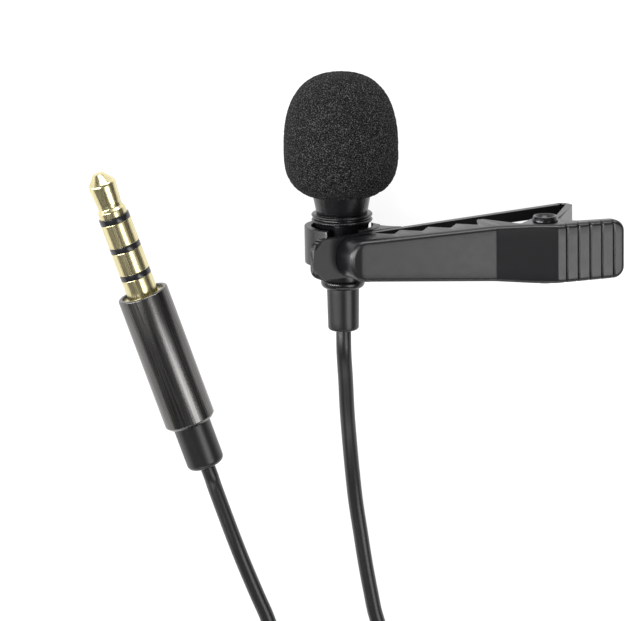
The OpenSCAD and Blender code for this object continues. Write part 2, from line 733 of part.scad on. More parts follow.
module plug_tip() {
    jack_r = jack_d / 2;
    waist = jack_length - 3.65;
    color("#d9c07a") along_plug() rotate_extrude() polygon([[0, core_rear - 1.5],
        [rod_r, core_rear - 1.5], [rod_r, band_1 - 0.001], [jack_r - 0.17, band_1],
        [jack_r - 0.17, waist - 0.75], [jack_r - 0.37, waist - 0.4], [jack_r - 0.37, waist],
        [jack_r - 0.17, jack_length - 1.45], [jack_r - 0.24, jack_length - 1.15],
        [jack_r - 1.1, jack_length - 0.1], [jack_r - 1.22, jack_length], [0, jack_length]]);
}

module plug_ring_front() {
    color("#d9c07a") along_plug() union() {
        turned(band_2, band_1 - band_t, jack_d / 2, liner_1_r);
        turned(core_rear - 1, band_2 + eps, liner_2_r, liner_1_r);
    }
}

module plug_ring_rear() {
    color("#d9c07a") along_plug() union() {
        turned(band_3, band_2 - band_t, jack_d / 2, liner_3_r - liner_t);
        turned(core_rear - 0.5, band_3 + eps, liner_3_r, liner_3_r - liner_t);
    }
}

module plug_sleeve() {
    color("#d9c07a") along_plug() union() {
        turned(collar_front, band_3 - band_t, jack_d / 2, liner_4_r);
        turned(collar_rear, collar_front + eps, shell_bore_r, liner_4_r);
    }
}

module plug_insulators() {
    color("#111111") along_plug() {
        union() {
            turned(band_1 - band_t, band_1, jack_d / 2, rod_r);
            turned(core_rear - 1, band_1 - band_t + eps, liner_1_r, rod_r);
        }
        union() {
            turned(band_2 - band_t, band_2, jack_d / 2, liner_2_r);
            turned(core_rear - 0.5, band_2 - band_t + eps, liner_3_r - liner_t, liner_2_r);
        }
        union() {
            turned(band_3 - band_t, band_3, jack_d / 2, liner_3_r);
            turned(collar_rear, band_3 - band_t + eps, liner_4_r, liner_3_r);
        }
    }
}

module plug_core() {
    color("#1c1c1c") along_plug()
        turned(core_rear, collar_rear, shell_bore_r, liner_3_r);
}

module plug_lugs() {
    lug = [0.9, 0.25, 2.2];
    color("goldenrod") along_plug() for (i = [0:2]) rotate(120 * i)
        translate([-lug[0] / 2, shell_bore_r - 0.8, core_rear - lug[2]]) cube(lug);
}

module plug_wires() {
    wire_r = 0.22;
    color("firebrick") along_plug() for (i = [0:2]) rotate(120 * i) translate([0, 0.5, 0])
        turned(jacket_front, core_rear - 1.6, wire_r);
}

module plug_shell() {
    edge = 0.4;
    color("#5b5650") along_plug() difference() {
        rotate_extrude() polygon([[0, -shell_length], [shell_d / 2 - edge, -shell_length],
            [shell_d / 2, edge - shell_length], [shell_d / 2, -0.1], [shell_d / 2 - 0.1, 0], [0, 0]]);
        turned(shell_rear_t - shell_length, 1, shell_bore_r);
        turned(-shell_length - 1, shell_rear_t - shell_length + eps, sleeve_d / 2);
    }
}

module plug_boot() {
    edge = 0.7;
    color("#141414") along_plug() difference() {
        rotate_extrude() polygon(concat([[0, -plug_length]],
            arc([sleeve_d / 2 - edge, edge - plug_length], edge, -90, 0, 8),
            [[sleeve_d / 2, shell_rear_t - shell_length], [shell_bore_r, shell_rear_t - shell_length],
            [shell_bore_r, shell_rear_t + 1 - shell_length], [0, shell_rear_t + 1 - shell_length]]));
        turned(-plug_length - 1, 0, cord_r);
    }
}

module cord_end_plug() {
    color("#101011") along_plug() turned(-plug_length, jacket_front, cord_r);
}

// ---------- cord ----------

function catmull(a, b, c, d, t) = 0.5 * ((2 * b) + (c - a) * t
    + (2 * a - 5 * b + 4 * c - d) * t * t + (3 * b - a - 3 * c + d) * t * t * t);

// A smooth path through the route's points, with a few steps between each pair.
function smooth(route, steps) = let (n = len(route) - 1) concat(
    [for (i = [0:n - 1], s = [0:steps - 1])
        catmull(route[max(i - 1, 0)], route[i], route[i + 1], route[min(i + 2, n)], s / steps)],
    [route[n]]);

module cord_mic_run() {
    color("#101011") translate([mic_x, mic_y, 0])
        swept_tube(concat([mic_start], smooth(mic_route, 3)), cord_r);
}

module cord_coil() {
    color("#101011") translate([mic_x + coil_centre[0], mic_y + coil_centre[1], tie_t])
        difference() {
            cylinder(h = coil_h, r = coil_out_r);
            translate([0, 0, -1]) cylinder(h = coil_h + 2, r = coil_in_r);
        }
}

module cord_plug_run() {
    color("#101011") translate([mic_x, mic_y, 0])
        swept_tube(concat([plug_start], smooth(plug_route, 3)), cord_r);
}

module coil_tie() {
    slack = 0.05;
    inner = sqrt(pow(coil_in_r, 2) - pow(tie_w / 2, 2)) - slack;
    outer = coil_out_r + slack;
    color("#26272a") translate([mic_x + coil_centre[0], mic_y + coil_centre[1], 0])
        rotate([0, 0, -90]) translate([0, -tie_w / 2, 0]) difference() {
            translate([inner - tie_t, 0, 0])
                cube([outer - inner + 2 * tie_t, tie_w, coil_h + 2 * tie_t]);
            translate([inner, -1, tie_t]) cube([outer - inner, tie_w + 2, coil_h]);
        }
}

foam_windscreen();
front_grille();
dust_felt();
capsule_housing();
lower_body();
rear_cap();
strain_relief();
capsule_boot();
capsule_can();
diaphragm_ring();
diaphragm();
spacer_ring();
backplate();
insulator_cup();
capsule_board();
amplifier_chip();
signal_wires();
cord_crimp();
cord_end_mic();
mic_holder();
clip_arm();
clip_pin();
clip_spring();
clip_lever();
plug_tip();
plug_ring_front();
plug_ring_rear();
plug_sleeve();
plug_insulators();
plug_core();
plug_lugs();
plug_wires();
plug_shell();
plug_boot();
cord_end_plug();
cord_mic_run();
cord_coil();
cord_plug_run();
coil_tie();
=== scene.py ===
"""Looks of the lavalier microphone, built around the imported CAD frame. Lengths are in millimetres
until mm() turns them into metres; X runs towards the grip, Y towards the foam, Z up from the table."""

import json
import math

import bmesh
import bpy
import numpy as np
from mathutils import Matrix, Vector
from mathutils.kdtree import KDTree


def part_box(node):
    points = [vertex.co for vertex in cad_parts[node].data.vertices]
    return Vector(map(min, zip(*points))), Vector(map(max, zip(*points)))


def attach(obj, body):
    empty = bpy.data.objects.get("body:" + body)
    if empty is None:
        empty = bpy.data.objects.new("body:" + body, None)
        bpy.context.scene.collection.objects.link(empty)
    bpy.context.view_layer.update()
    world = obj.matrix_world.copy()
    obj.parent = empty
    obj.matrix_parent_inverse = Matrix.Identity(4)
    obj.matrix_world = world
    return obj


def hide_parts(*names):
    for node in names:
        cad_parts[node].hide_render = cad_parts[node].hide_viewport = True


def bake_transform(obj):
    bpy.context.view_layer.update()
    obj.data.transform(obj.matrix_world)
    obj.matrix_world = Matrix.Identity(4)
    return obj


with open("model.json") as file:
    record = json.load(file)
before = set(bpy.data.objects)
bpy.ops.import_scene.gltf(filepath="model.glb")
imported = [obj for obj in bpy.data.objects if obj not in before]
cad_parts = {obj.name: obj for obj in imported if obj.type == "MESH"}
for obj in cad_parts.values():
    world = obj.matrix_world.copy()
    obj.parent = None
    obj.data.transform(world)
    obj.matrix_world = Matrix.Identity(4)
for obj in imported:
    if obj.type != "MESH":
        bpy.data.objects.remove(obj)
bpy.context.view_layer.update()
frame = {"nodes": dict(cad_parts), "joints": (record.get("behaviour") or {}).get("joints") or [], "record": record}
nodes = frame["nodes"]

MM = 0.001


def mm(*values):
    """Millimetres to metres, as a vector."""
    return Vector(values) * MM


# ---------- places, all worked out from the frame ----------

joints = {j["name"]: j for j in frame["joints"]}
mounts = {m["name"]: m for m in frame["record"]["mounts"]}
MIC = Vector(joints["clip_swivel"]["pos_m"])
PIN = Vector(joints["lever_squeeze"]["pos_m"])
CLIP_UP = Vector(mounts["clip_jaw"]["axis"]).normalized()
CLIP_ALONG = Vector((CLIP_UP.z, 0, -CLIP_UP.x))
PLUG_AXIS = Vector(mounts["jack_plug"]["axis"]).normalized()

# ---------- camera ----------

VIEW_YAW = math.radians(7.1)  # the camera stands this far towards -X
VIEW_PITCH = math.radians(12.8)  # and this far towards +Y, off straight down
VIEW_ROLL = math.radians(-0.9)
VIEW_DISTANCE = 480
VIEW_LENS = 241.4
VIEW_TARGET = MIC + mm(-2.45, -7.15, 0)


def make_camera():
    """A long lens looking down on the table, as the product is photographed."""
    away = Vector(
        (
            -math.sin(VIEW_YAW) * math.cos(VIEW_PITCH),
            math.sin(VIEW_PITCH),
            math.cos(VIEW_YAW) * math.cos(VIEW_PITCH),
        )
    )
    right = Vector((math.cos(VIEW_YAW), 0, math.sin(VIEW_YAW)))
    up = away.cross(right)
    side = math.cos(VIEW_ROLL) * right + math.sin(VIEW_ROLL) * up
    top = math.cos(VIEW_ROLL) * up - math.sin(VIEW_ROLL) * right
    data = bpy.data.cameras.new("camera")
    data.lens = VIEW_LENS
    data.sensor_width = 36
    data.clip_start = 0.01
    data.clip_end = 5
    camera = bpy.data.objects.new("camera", data)
    turn = Matrix((side, top, away)).transposed().to_4x4()
    camera.matrix_world = Matrix.Translation(VIEW_TARGET + away * VIEW_DISTANCE * MM) @ turn
    bpy.context.scene.collection.objects.link(camera)
    bpy.context.scene.camera = camera


make_camera()

# ---------- shared helpers ----------

SLOTS = {s["node"]: s["material_slot"] for s in frame["record"]["subparts"]}


def mesh_object(name, vertices, faces):
    """A new object in the scene from its corners, in metres, and its faces."""
    mesh = bpy.data.meshes.new(name)
    mesh.from_pydata([tuple(v) for v in vertices], [], faces)
    mesh.validate()
    obj = bpy.data.objects.new(name, mesh)
    bpy.context.scene.collection.objects.link(obj)
    return obj


def turned_mesh(name, profile, centre, axis, sides, ring=False):
    """A piece turned from (radius, place along the axis) points in mm, solid or a closed ring."""
    axis = axis.normalized()
    across = axis.orthogonal().normalized()
    third = axis.cross(across)
    vertices, faces = [], []
    for radius, place in profile:
        for k in range(sides):
            a = 2 * math.pi * k / sides
            out = math.cos(a) * across + math.sin(a) * third
            vertices.append(centre + (axis * place + out * radius) * MM)
    rows = len(profile)
    for i in range(rows if ring else rows - 1):
        j = (i + 1) % rows
        for k in range(sides):
            m = (k + 1) % sides
            faces.append((i * sides + k, i * sides + m, j * sides + m, j * sides + k))
    if not ring:
        faces.append(tuple(reversed(range(sides))))
        faces.append(tuple(range((rows - 1) * sides, rows * sides)))
    return mesh_object(name, vertices, faces)


def smooth_by_angle(obj, angle):
    """Smooth shading that stays sharp over edges steeper than the angle, in degrees."""
    obj.data.polygons.foreach_set("use_smooth", [True] * len(obj.data.polygons))
    obj.data.set_sharp_from_angle(angle=math.radians(angle))


def even_normals(obj):
    """Large faces keep their own normals, so that only the eased edges shade round."""
    even = obj.modifiers.new("even", "WEIGHTED_NORMAL")
    even.keep_sharp = True


def stands_in(obj, node, body):
    """A piece drawn here that takes one CAD node's place on a body, with that node hidden."""
    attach(obj, body)
    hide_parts(node)
    return obj


# ---------- places along the cord ----------

CORD_D = 1.7
TIE_T = 0.4
COIL_CENTRE = (0, -68)  # from the microphone's axis
COIL_OUTER_R = 13.5
COIL_ROWS = 6
COIL_LAYERS = 4
COIL_POINTS = 40  # for each turn
COIL_SHIFT = 0.28  # share of a turn in which the cord steps over to its next row

# Points along each run, from the microphone's axis and the table to the cord's underside, as in
# the CAD source; the ends of a run come from the pieces that it joins.
MIC_POINTS = [
    (0.3, -15.5, 4.3), (0.6, -19.5, 3), (1, -23.3, 1.6), (1.4, -27.1, 0.6), (1.8, -30.8, 0.1),
    (2.3, -34.4, 0), (2.8, -38, 0), (3.4, -41.6, 0), (4.1, -45, 0), (6, -50.5, 0),
    (9.4, -56, 0.1), (12.5, -62, 0.2),
]
PLUG_POINTS = [
    (-14.4, -28, 1.6), (-13.2, -31.6, 0.8), (-11.9, -35.4, 0.1), (-10.8, -38.4, 0),
    (-9.6, -41.5, 0), (-8.5, -44.3, 0), (-7.5, -48, 0), (-7.5, -51.5, 0.3), (-9.8, -54.9, 1.2),
    (-12.9, -58.4, 2.7), (-14.3, -63, 4.4),
]
BASE = Vector((MIC.x, MIC.y, 0))
MIC_EXIT = Vector((0, (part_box("strain_relief")[0][1] - MIC.y) / MM, MIC.z / MM))
PLUG_REAR = (-15.3, -25.2)
shell_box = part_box("plug_shell")
PLUG_EXIT = Vector((*PLUG_REAR, (shell_box[0][2] + shell_box[1][2]) / 2 / MM))


# ---------- the plug's gold contacts and the tie, which lie along the cord ----------

JACK_R = 1.75
JACK_LENGTH = 14.5
TIP_STEP = 0.17  # the tip's flange and its widest place lie this much under the barrel
TIP_NECK_STEP = 0.37
TIP_NECK = 3.65  # from the neck's front to the point
COLLAR_R = 2.4
COLLAR_REAR, COLLAR_FRONT = -1.2, -0.3
POLE_R = 0.03  # a turned solid's cap, small enough to be unseen
BANDS = [9.38, 5.98, 2.67]  # front faces of the black bands, from the plug's mouth
BAND_T = 0.66
ROD_R = 0.5
PLUG_LENGTH = 21.3
MOUTH = BASE + PLUG_EXIT * MM + PLUG_AXIS * PLUG_LENGTH * MM


def ring_profile(low, high, outer, inner, edge=0.05):
    """A ring's section with its outer edges eased."""
    return [
        (inner, low), (outer - edge, low), (outer - edge * 0.3, low + edge * 0.3),
        (outer, low + edge), (outer, high - edge), (outer - edge * 0.3, high - edge * 0.3),
        (outer - edge, high), (inner, high),
    ]


def held(profile, close=0.05):
    """The same outline with a point near each end of its long runs, so that they shade straight."""
    points = []
    for a, b in zip(profile, profile[1:]):
        points.append(a)
        run = math.dist(a, b)
        if run > 4 * close:
            for f in (close / run, 1 - close / run):
                points.append((a[0] + (b[0] - a[0]) * f, a[1] + (b[1] - a[1]) * f))
    return points + [profile[-1]]


def make_contacts():
    """The jack's tip, its two rings and its sleeve, turned in gold."""
    r, length, foot = JACK_R, JACK_LENGTH, BANDS[0]
    wide, neck_r, neck = r - TIP_STEP, r - TIP_NECK_STEP, length - TIP_NECK
    tip = [
        (POLE_R, foot - 4), (ROD_R, foot - 4), (ROD_R, foot), (wide - 0.04, foot),
        (wide, foot + 0.04), (wide, neck - 0.79), (wide - 0.03, neck - 0.72),
        (neck_r + 0.02, neck - 0.44), (neck_r, neck - 0.38), (neck_r, neck),
        (neck_r + 0.03, neck + 0.2), (wide - 0.01, length - 1.52), (wide, length - 1.44),
        (wide - 0.03, length - 1.27), (r - 0.26, length - 1.15), (r - 0.6, length - 0.72),
        (r - 1.06, length - 0.14), (r - 1.14, length - 0.05), (r - 1.28, length), (POLE_R, length),
    ]
    pieces = [("plug_tip", tip, False)]
    for i, name in enumerate(["plug_ring_front", "plug_ring_rear"]):
        inner = ROD_R * (1.5 + i)
        profile = ring_profile(BANDS[i + 1], BANDS[i] - BAND_T, r, inner)
        pieces.append((name, profile, True))
    sleeve = ring_profile(COLLAR_FRONT, BANDS[2] - BAND_T, r, ROD_R * 3)
    sleeve[0] = (ROD_R * 3, COLLAR_REAR)
    sleeve[1:4] = [
        (COLLAR_R, COLLAR_REAR), (COLLAR_R, COLLAR_FRONT - 0.04), (COLLAR_R - 0.04, COLLAR_FRONT),
        (r, COLLAR_FRONT),
    ]
    pieces.append(("plug_sleeve", sleeve, True))
    made = []
    for node, profile, ring in pieces:
        obj = turned_mesh(node.replace("plug", "gold"), held(profile), MOUTH, PLUG_AXIS, 96, ring)
        smooth_by_angle(obj, 40)
        even_normals(obj)
        made.append(stands_in(obj, node, "microphone"))
    return made


def make_strap():
    """The woven tie: a flat closed strip round one side of the coil, thinner at its two edges."""
    low, high = (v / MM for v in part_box("coil_tie"))
    corner, steps = 1.1, 6
    centres = [
        (high.y - corner, high.z - corner, 0), (low.y + corner, high.z - corner, 90),
        (low.y + corner, low.z + corner, 180), (high.y - corner, low.z + corner, 270),
    ]
    outline = []
    for y, z, start in centres:
        for i in range(steps + 1):
            a = math.radians(start + 90 * i / steps)
            outline.append((y, z, math.cos(a), math.sin(a)))
    middle, half = (low.x + high.x) / 2, (high.x - low.x) / 2
    section = [(-1, 0.35), (-0.96, 0.1), (-0.85, 0), (0.85, 0), (0.96, 0.1), (1, 0.35)]
    section += [(x, 1) for x in (0.96, -0.96)]
    vertices, faces = [], []
    for y, z, cy, cz in outline:
        for x, depth in section:
            reach = corner - depth * TIE_T
            vertices.append(mm(middle + x * half, y + reach * cy, z + reach * cz))
    n, rows = len(section), len(outline)
    for i in range(rows):
        j = (i + 1) % rows
        for k in range(n):
            m = (k + 1) % n
            faces.append((i * n + k, j * n + k, j * n + m, i * n + m))
    strap = mesh_object("tie_strap", vertices, faces)
    smooth_by_angle(strap, 40)
    even_normals(strap)
    return stands_in(strap, "coil_tie", "microphone")


contacts = make_contacts()
strap = make_strap()


def cord_routes():
    """The route points of both runs, each ending where the coil takes over."""
    lift = Vector((0, 0, CORD_D / 2))
    start_z = TIE_T + CORD_D / 2
    end_z = TIE_T + CORD_D * (COIL_LAYERS - 0.5)
    back = Vector((-PLUG_AXIS.x, -PLUG_AXIS.y, 0))
    down = Vector((0, -1, 0))
    mic = [MIC_EXIT, MIC_EXIT + 2.6 * down] + [Vector(p) + lift for p in MIC_POINTS]
    plug = [PLUG_EXIT, PLUG_EXIT + 1.5 * back] + [Vector(p) + lift for p in PLUG_POINTS]
    mic.append(Vector((COIL_OUTER_R, COIL_CENTRE[1], start_z)))
    plug.append(Vector((-COIL_OUTER_R, COIL_CENTRE[1], end_z)))
    return mic, plug


def smooth_route(points, steps):
    """A smooth path through the points, the same curve that the CAD tube follows."""
    last = len(points) - 1
    path = []
    for i in range(last):
        a, b, c, d = (points[min(max(k, 0), last)] for k in (i - 1, i, i + 1, i + 2))
        for s in range(steps):
            t = s / steps
            path.append(
                0.5
                * (
                    2 * b
                    + (c - a) * t
                    + (2 * a - 5 * b + 4 * c - d) * t * t
                    + (3 * b - a - 3 * c + d) * t**3
                )
            )
    return path + [points[last]]


def coil_path():
    """The turns of the coil, clockwise from its right side, layer on layer, in and out by turns."""
    rows = []
    for layer in range(COIL_LAYERS):
        order = range(COIL_ROWS) if layer % 2 == 0 else reversed(range(COIL_ROWS))
        rows += [(COIL_OUTER_R - k * CORD_D, TIE_T + CORD_D * (layer + 0.5)) for k in order]
    rows.append(rows[-1])
    path = []
    for turn in range(len(rows) - 1):
        for step in range(COIL_POINTS):
            share = step / COIL_POINTS
            if turn == len(rows) - 2 and share > 0.5:
                break
            t = min(max((share - 1 + COIL_SHIFT) / COIL_SHIFT, 0), 1)
            t = t * t * (3 - 2 * t)
            r = rows[turn][0] * (1 - t) + rows[turn + 1][0] * t
            z = rows[turn][1] * (1 - t) + rows[turn + 1][1] * t
            angle = -2 * math.pi * share
            path.append(
                Vector(
                    (COIL_CENTRE[0] + r * math.cos(angle), COIL_CENTRE[1] + r * math.sin(angle), z)
                )
            )
    return path


def make_cord():
    """The whole free cord as one curve, from the strain relief to the plug's boot."""
    mic_route, plug_route = cord_routes()
    out = smooth_route(mic_route, 6)[:-1]
    back = list(reversed(smooth_route(plug_route, 6)))[1:]
    path = out + coil_path() + back
    curve = bpy.data.curves.new("cord", "CURVE")
    curve.dimensions = "3D"
    curve.bevel_depth = 1.0
    curve.bevel_resolution = 6
    curve.use_fill_caps = True
    spline = curve.splines.new("POLY")
    spline.points.add(len(path) - 1)
    for point, place in zip(spline.points, path):
        point.co = (*(BASE + place * MM), 1)
        point.radius = CORD_D / 2 * MM
    spline.use_smooth = True
    cord = bpy.data.objects.new("cord", curve)
    bpy.context.scene.collection.objects.link(cord)
    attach(cord, "microphone")
    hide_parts("cord_mic_run", "cord_coil", "cord_plug_run")
    return cord


cord = make_cord()

# ---------- materials ----------


class Shader:
    """A small helper for building one procedural material."""

    def __init__(self, name, colour, rough, metal=0.0):
        self.material = bpy.data.materials.new(name)
        self.material.use_nodes = True
        self.tree = self.material.node_tree
        self.bsdf = self.tree.nodes["Principled BSDF"]
        self.coords = self.node("ShaderNodeTexCoord").outputs["Object"]
        self.set("Base Color", (*colour, 1))
        self.set("Roughness", rough)
        self.set("Metallic", metal)

    def set(self, socket, value):
        self.bsdf.inputs[socket].default_value = value

    def node(self, kind, **settings):
        made = self.tree.nodes.new(kind)
        for key, value in settings.items():
            setattr(made, key, value)
        return made

    def link(self, a, b):
        self.tree.links.new(a, b)

    def stretched(self, scale):
        """Object coordinates scaled per axis."""
        mapping = self.node("ShaderNodeMapping")
        mapping.inputs["Scale"].default_value = scale
        self.link(self.coords, mapping.inputs["Vector"])
        return mapping.outputs["Vector"]

    def noise(self, per_mm, detail=3, roughness=0.5, coords=None):
        """Noise with about per_mm features in a millimetre."""
        noise = self.node("ShaderNodeTexNoise")
        noise.inputs["Scale"].default_value = per_mm / MM
        noise.inputs["Detail"].default_value = detail
        noise.inputs["Roughness"].default_value = roughness
        self.link(coords or self.coords, noise.inputs["Vector"])
        return noise.outputs["Fac"]

    def cells(self, per_mm, coords=None):
        """Distance from the middle of the nearest cell, with about per_mm cells in a millimetre."""
        voronoi = self.node("ShaderNodeTexVoronoi")
        voronoi.inputs["Scale"].default_value = per_mm / MM
        self.link(coords or self.coords, voronoi.inputs["Vector"])
        return voronoi.outputs["Distance"]

    def ramp(self, value, stops):
        """Colours from a value; a stop is (place, (r, g, b))."""
        ramp = self.node("ShaderNodeValToRGB")
        elements = ramp.color_ramp.elements
        while len(elements) < len(stops):
            elements.new(0.5)
        for element, (place, colour) in zip(elements, stops):
            element.position = place
            element.color = (*colour, 1)
        self.link(value, ramp.inputs["Fac"])
        return ramp.outputs["Color"]

    def roughness(self, value, low, high):
        """Roughness between low and high, as the value runs from 0 to 1."""
        mapped = self.node("ShaderNodeMapRange")
        mapped.inputs["To Min"].default_value = low
        mapped.inputs["To Max"].default_value = high
        self.link(value, mapped.inputs["Value"])
        self.link(mapped.outputs["Result"], self.bsdf.inputs["Roughness"])

    def colour(self, value):
        self.link(value, self.bsdf.inputs["Base Color"])

    def bump(self, height, depth_mm, strength=1.0):
        """Relief from a height value."""
        bump = self.node("ShaderNodeBump")
        bump.inputs["Strength"].default_value = strength
        bump.inputs["Distance"].default_value = depth_mm * MM
        self.link(height, bump.inputs["Height"])
        self.link(bump.outputs["Normal"], self.bsdf.inputs["Normal"])


def painted_black(name, colour, rough):
    """Satin black lacquer over metal, with a very fine orange peel and faint wear."""
    s = Shader(name, colour, rough)
    s.roughness(s.noise(1.2, 4), rough - 0.04, rough + 0.05)
    s.bump(s.noise(7, 2), 0.004, 0.35)
    return s.material


def rubber_black(name, colour, rough):
    """Black rubber with a dull, slightly uneven skin."""
    s = Shader(name, colour, rough)
    s.roughness(s.noise(3, 3), rough - 0.05, rough + 0.06)
    s.bump(s.noise(14, 2), 0.004, 0.4)
    return s.material


def polished_metal(name, colour, rough):
    """Bright metal with a faint cloudiness."""
    s = Shader(name, colour, rough, metal=1.0)
    fine = s.noise(4, 3)
    s.colour(s.ramp(fine, [(0.3, tuple(c * 0.85 for c in colour)), (0.7, colour)]))
    s.roughness(s.noise(9, 3), rough * 0.8, rough * 1.25)
    return s.material


STREAK_STRETCH = 40  # length of a streak over its width


def streaked_metal(name, colour, rough, darker, streaks, along):
    """Metal drawn lengthwise: fine grain that runs with the given heading on the table."""
    s = Shader(name, colour, rough, metal=1.0)
    mapping = s.node("ShaderNodeMapping", vector_type="TEXTURE")
    mapping.inputs["Rotation"].default_value = (0, 0, math.atan2(-along.x, along.y))
    mapping.inputs["Scale"].default_value = (1, STREAK_STRETCH, 1)
    s.link(s.coords, mapping.inputs["Vector"])
    grain = s.noise(streaks, 3, 0.6, mapping.outputs["Vector"])
    s.colour(s.ramp(grain, [(0.3, tuple(c * darker for c in colour)), (0.7, colour)]))
    s.roughness(grain, rough * 0.8, rough * 1.3)
    return s.material


def moulded_plastic(name, colour, rough):
    """Moulded plastic with a faintly uneven skin."""
    s = Shader(name, colour, rough)
    s.roughness(s.noise(3, 3), rough - 0.04, rough + 0.05)
    s.bump(s.noise(12, 2), 0.003, 0.4)
    return s.material


def foam_material():
    """Open-cell foam: pores darkened with painted shade between slightly paler struts."""
    s = Shader("foam", (0.02, 0.02, 0.021), 0.95)
    s.set("Specular IOR Level", 0.1)
    cell = s.cells(9.5)
    # painted shade: the colour goes near black towards each pore's middle, where the bump sinks it, and paler out
    # on the struts
    dark, mid, pale = (0.0006, 0.0006, 0.0006), (0.0035, 0.0035, 0.0036), (0.1, 0.1, 0.1)
    s.colour(s.ramp(cell, [(0.2, dark), (0.5, mid), (0.9, pale)]))
    s.bump(cell, 0.08, 1.0)
    return s.material


def felt_material():
    """Black felt of the dust disc."""
    s = Shader("felt", (0.02, 0.02, 0.02), 0.95)
    s.bump(s.noise(20, 4), 0.02, 1.0)
    return s.material


def weave_material():
    """Woven strip of the coil's tie."""
    s = Shader("tie_weave", (0.018, 0.018, 0.02), 0.85)
    s.bump(s.cells(4, coords=s.stretched((1, 1.6, 1.6))), 0.06, 1.0)
    s.roughness(s.noise(6, 3), 0.75, 0.95)
    return s.material


MATERIALS = {
    "foam": foam_material(),
    "grille_metal": painted_black("grille_metal", (0.05, 0.05, 0.055), 0.4),
    "felt": felt_material(),
    "body_black": painted_black("body_black", (0.006, 0.006, 0.007), 0.26),
    "black_rubber": rubber_black("black_rubber", (0.008, 0.008, 0.0085), 0.36),
    "can_metal": polished_metal("can_metal", (0.75, 0.75, 0.76), 0.3),
    "brass": polished_metal("brass", (0.72, 0.55, 0.3), 0.3),
    "film": moulded_plastic("film", (0.8, 0.7, 0.45), 0.25),
    "white_plastic": moulded_plastic("white_plastic", (0.8, 0.8, 0.78), 0.45),
    "board_green": moulded_plastic("board_green", (0.05, 0.25, 0.12), 0.4),
    "chip_black": moulded_plastic("chip_black", (0.02, 0.02, 0.02), 0.5),
    "wire_red": moulded_plastic("wire_red", (0.5, 0.05, 0.04), 0.4),
    "cord_black": rubber_black("cord_black", (0.008, 0.008, 0.0085), 0.36),
    "clip_black": painted_black("clip_black", (0.006, 0.006, 0.007), 0.33),
    "pin_steel": polished_metal("pin_steel", (0.06, 0.06, 0.062), 0.28),
    "spring_steel": polished_metal("spring_steel", (0.35, 0.35, 0.36), 0.3),
    "plug_gold": streaked_metal("plug_gold", (0.82, 0.73, 0.42), 0.26, 0.66, 7, PLUG_AXIS),
    "insulator_black": moulded_plastic("insulator_black", (0.012, 0.012, 0.014), 0.22),
    "shell_gunmetal": streaked_metal(
        "shell_gunmetal", (0.17, 0.166, 0.162), 0.26, 0.5, 6, PLUG_AXIS
    ),
    "tie_black": weave_material(),
}


def paint(obj, slot):
    """The slot's material as the object's only one."""
    obj.data.materials.clear()
    obj.data.materials.append(MATERIALS[slot])


# ---------- carried-over CAD nodes ----------

# Widths of the eased edges, in mm.
BEVELS = {
    "clip_arm": 0.12, "mic_holder": 0.12, "clip_pin": 0.05, "lower_body": 0.06,
    "capsule_housing": 0.06, "rear_cap": 0.05, "strain_relief": 0.05, "plug_shell": 0.06,
    "plug_boot": 0.05, "plug_insulators": 0.03,
}
EVENED = ("clip_arm", "mic_holder", "clip_pin")  # their large faces keep their own normals
WELD_GAP = 1e-6


def finish_node(obj, name):
    """Soft edges and the slot's material on a CAD node that shows as it is."""
    paint(obj, SLOTS[name])
    weld = obj.modifiers.new("weld", "WELD")
    weld.merge_threshold = WELD_GAP
    if name in BEVELS:
        bevel = obj.modifiers.new("edges", "BEVEL")
        bevel.width = BEVELS[name] * MM
        bevel.segments = 3
        bevel.limit_method = "ANGLE"
        bevel.angle_limit = math.radians(32)
    smooth_by_angle(obj, 35)
    if name in EVENED:
        even_normals(obj)


for name, obj in nodes.items():
    finish_node(obj, name)
for obj in contacts:
    paint(obj, "plug_gold")
paint(strap, "tie_black")
paint(cord, "cord_black")

# ---------- foam ----------

FOAM_WIDEST = 5.5  # from the pole of the open side's curve to the widest place
FOAM_OPEN_POWER = 2.8
FOAM_ROUND_POWER = 2.5
FOAM_SKIN = 0.05  # height of the grain in the outline
FOAM_GRAINS = 5200
FOAM_GRAIN_REACH = 0.03  # of a grain, as a distance on the unit sphere
FOAM_RIM = 0.38
FOAM_SIDES = 220
OPEN_STEPS, ROUND_STEPS = 40, 72


def foam_profile(low, high, radius, bore, mouth):
    """The windscreen's outline from inside the bore, out round its mouth and over its tip."""
    inset = 1 - (mouth / radius) ** FOAM_OPEN_POWER
    reach = FOAM_WIDEST * inset ** (1 / FOAM_OPEN_POWER)
    wide = low + reach
    points = [(bore, wide + 3), (bore, low + 0.35), (bore + 0.1, low + 0.08), (mouth - 0.1, low)]
    start = math.asin(inset**0.5)
    for i in range(1, OPEN_STEPS):
        a = start * (1 - i / OPEN_STEPS)
        points.append(
            (
                radius * math.cos(a) ** (2 / FOAM_OPEN_POWER),
                wide - FOAM_WIDEST * math.sin(a) ** (2 / FOAM_OPEN_POWER),
            )
        )
    height = high - wide
    for i in range(ROUND_STEPS):
        a = math.pi / 2 * i / ROUND_STEPS
        points.append(
            (
                radius * math.cos(a) ** (2 / FOAM_ROUND_POWER),
                wide + height * math.sin(a) ** (2 / FOAM_ROUND_POWER),
            )
        )
    return points


